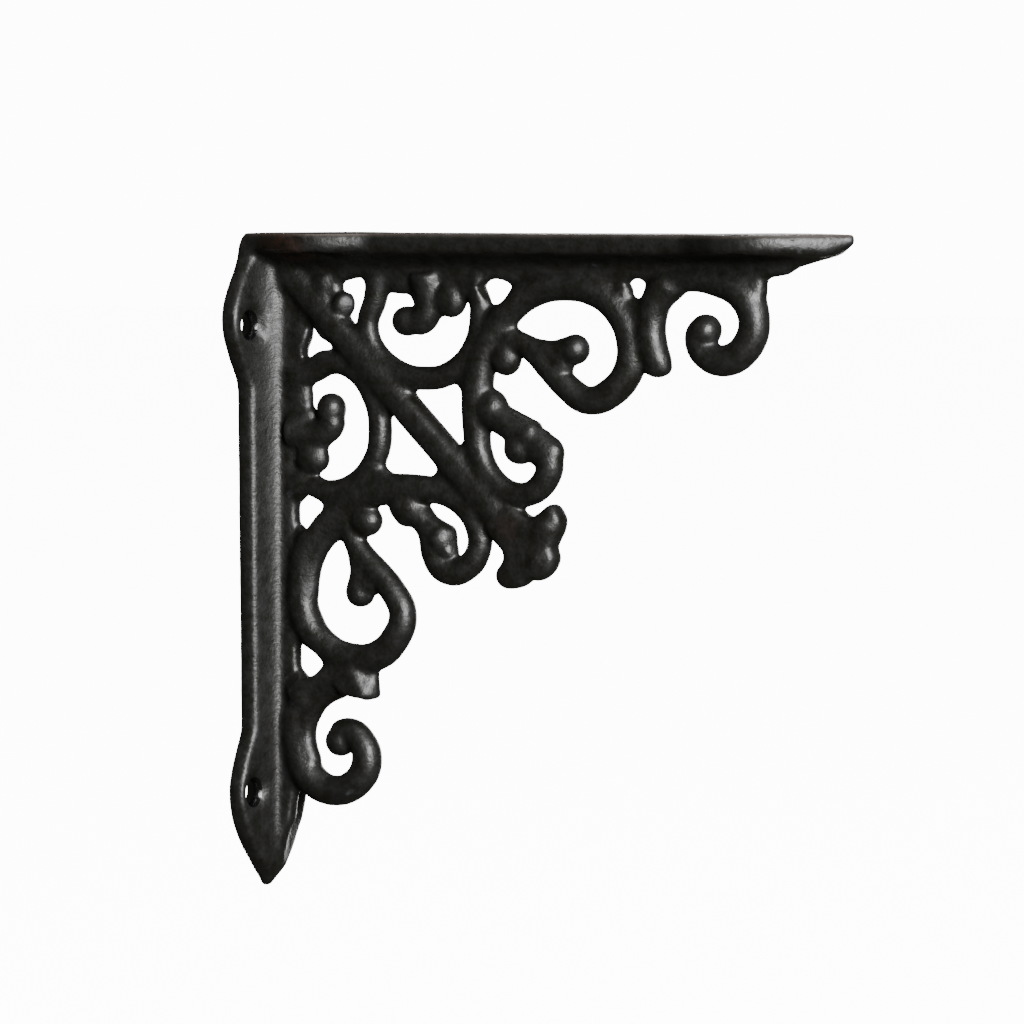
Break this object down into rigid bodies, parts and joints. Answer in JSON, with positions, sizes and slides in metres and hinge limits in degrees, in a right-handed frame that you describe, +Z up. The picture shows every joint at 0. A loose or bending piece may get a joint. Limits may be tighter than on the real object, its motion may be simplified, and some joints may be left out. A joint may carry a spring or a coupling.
{
  "type": "shelf bracket",
  "caption": "Small cast iron shelf bracket: wall plate and shelf plate at right angles, with screw ears, joined by a diagonal bar and a web of mirrored scrolls that ends in a trefoil",
  "frame": {"origin": "On the flat wall face, on its middle line, level with the upper pair of screw holes.", "axes": "+X is out from the wall, along the shelf arm; +Z is up, out of the shelf face; +Y is across the bracket's width. The web lies in the XZ plane. Held as it is in use: the wall face upright and the shelf face level."},
  "size_m": [0.12, 0.0248, 0.12],
  "materials": {
    "cast_iron": "near-black sand-cast iron under a thin satin black coat, with a fine bumpy skin and faint brown tints at the corner and along the top"
  },
  "bodies": {
    "root": {"bracket": "cast_iron"}
  },
  "joints": []
}
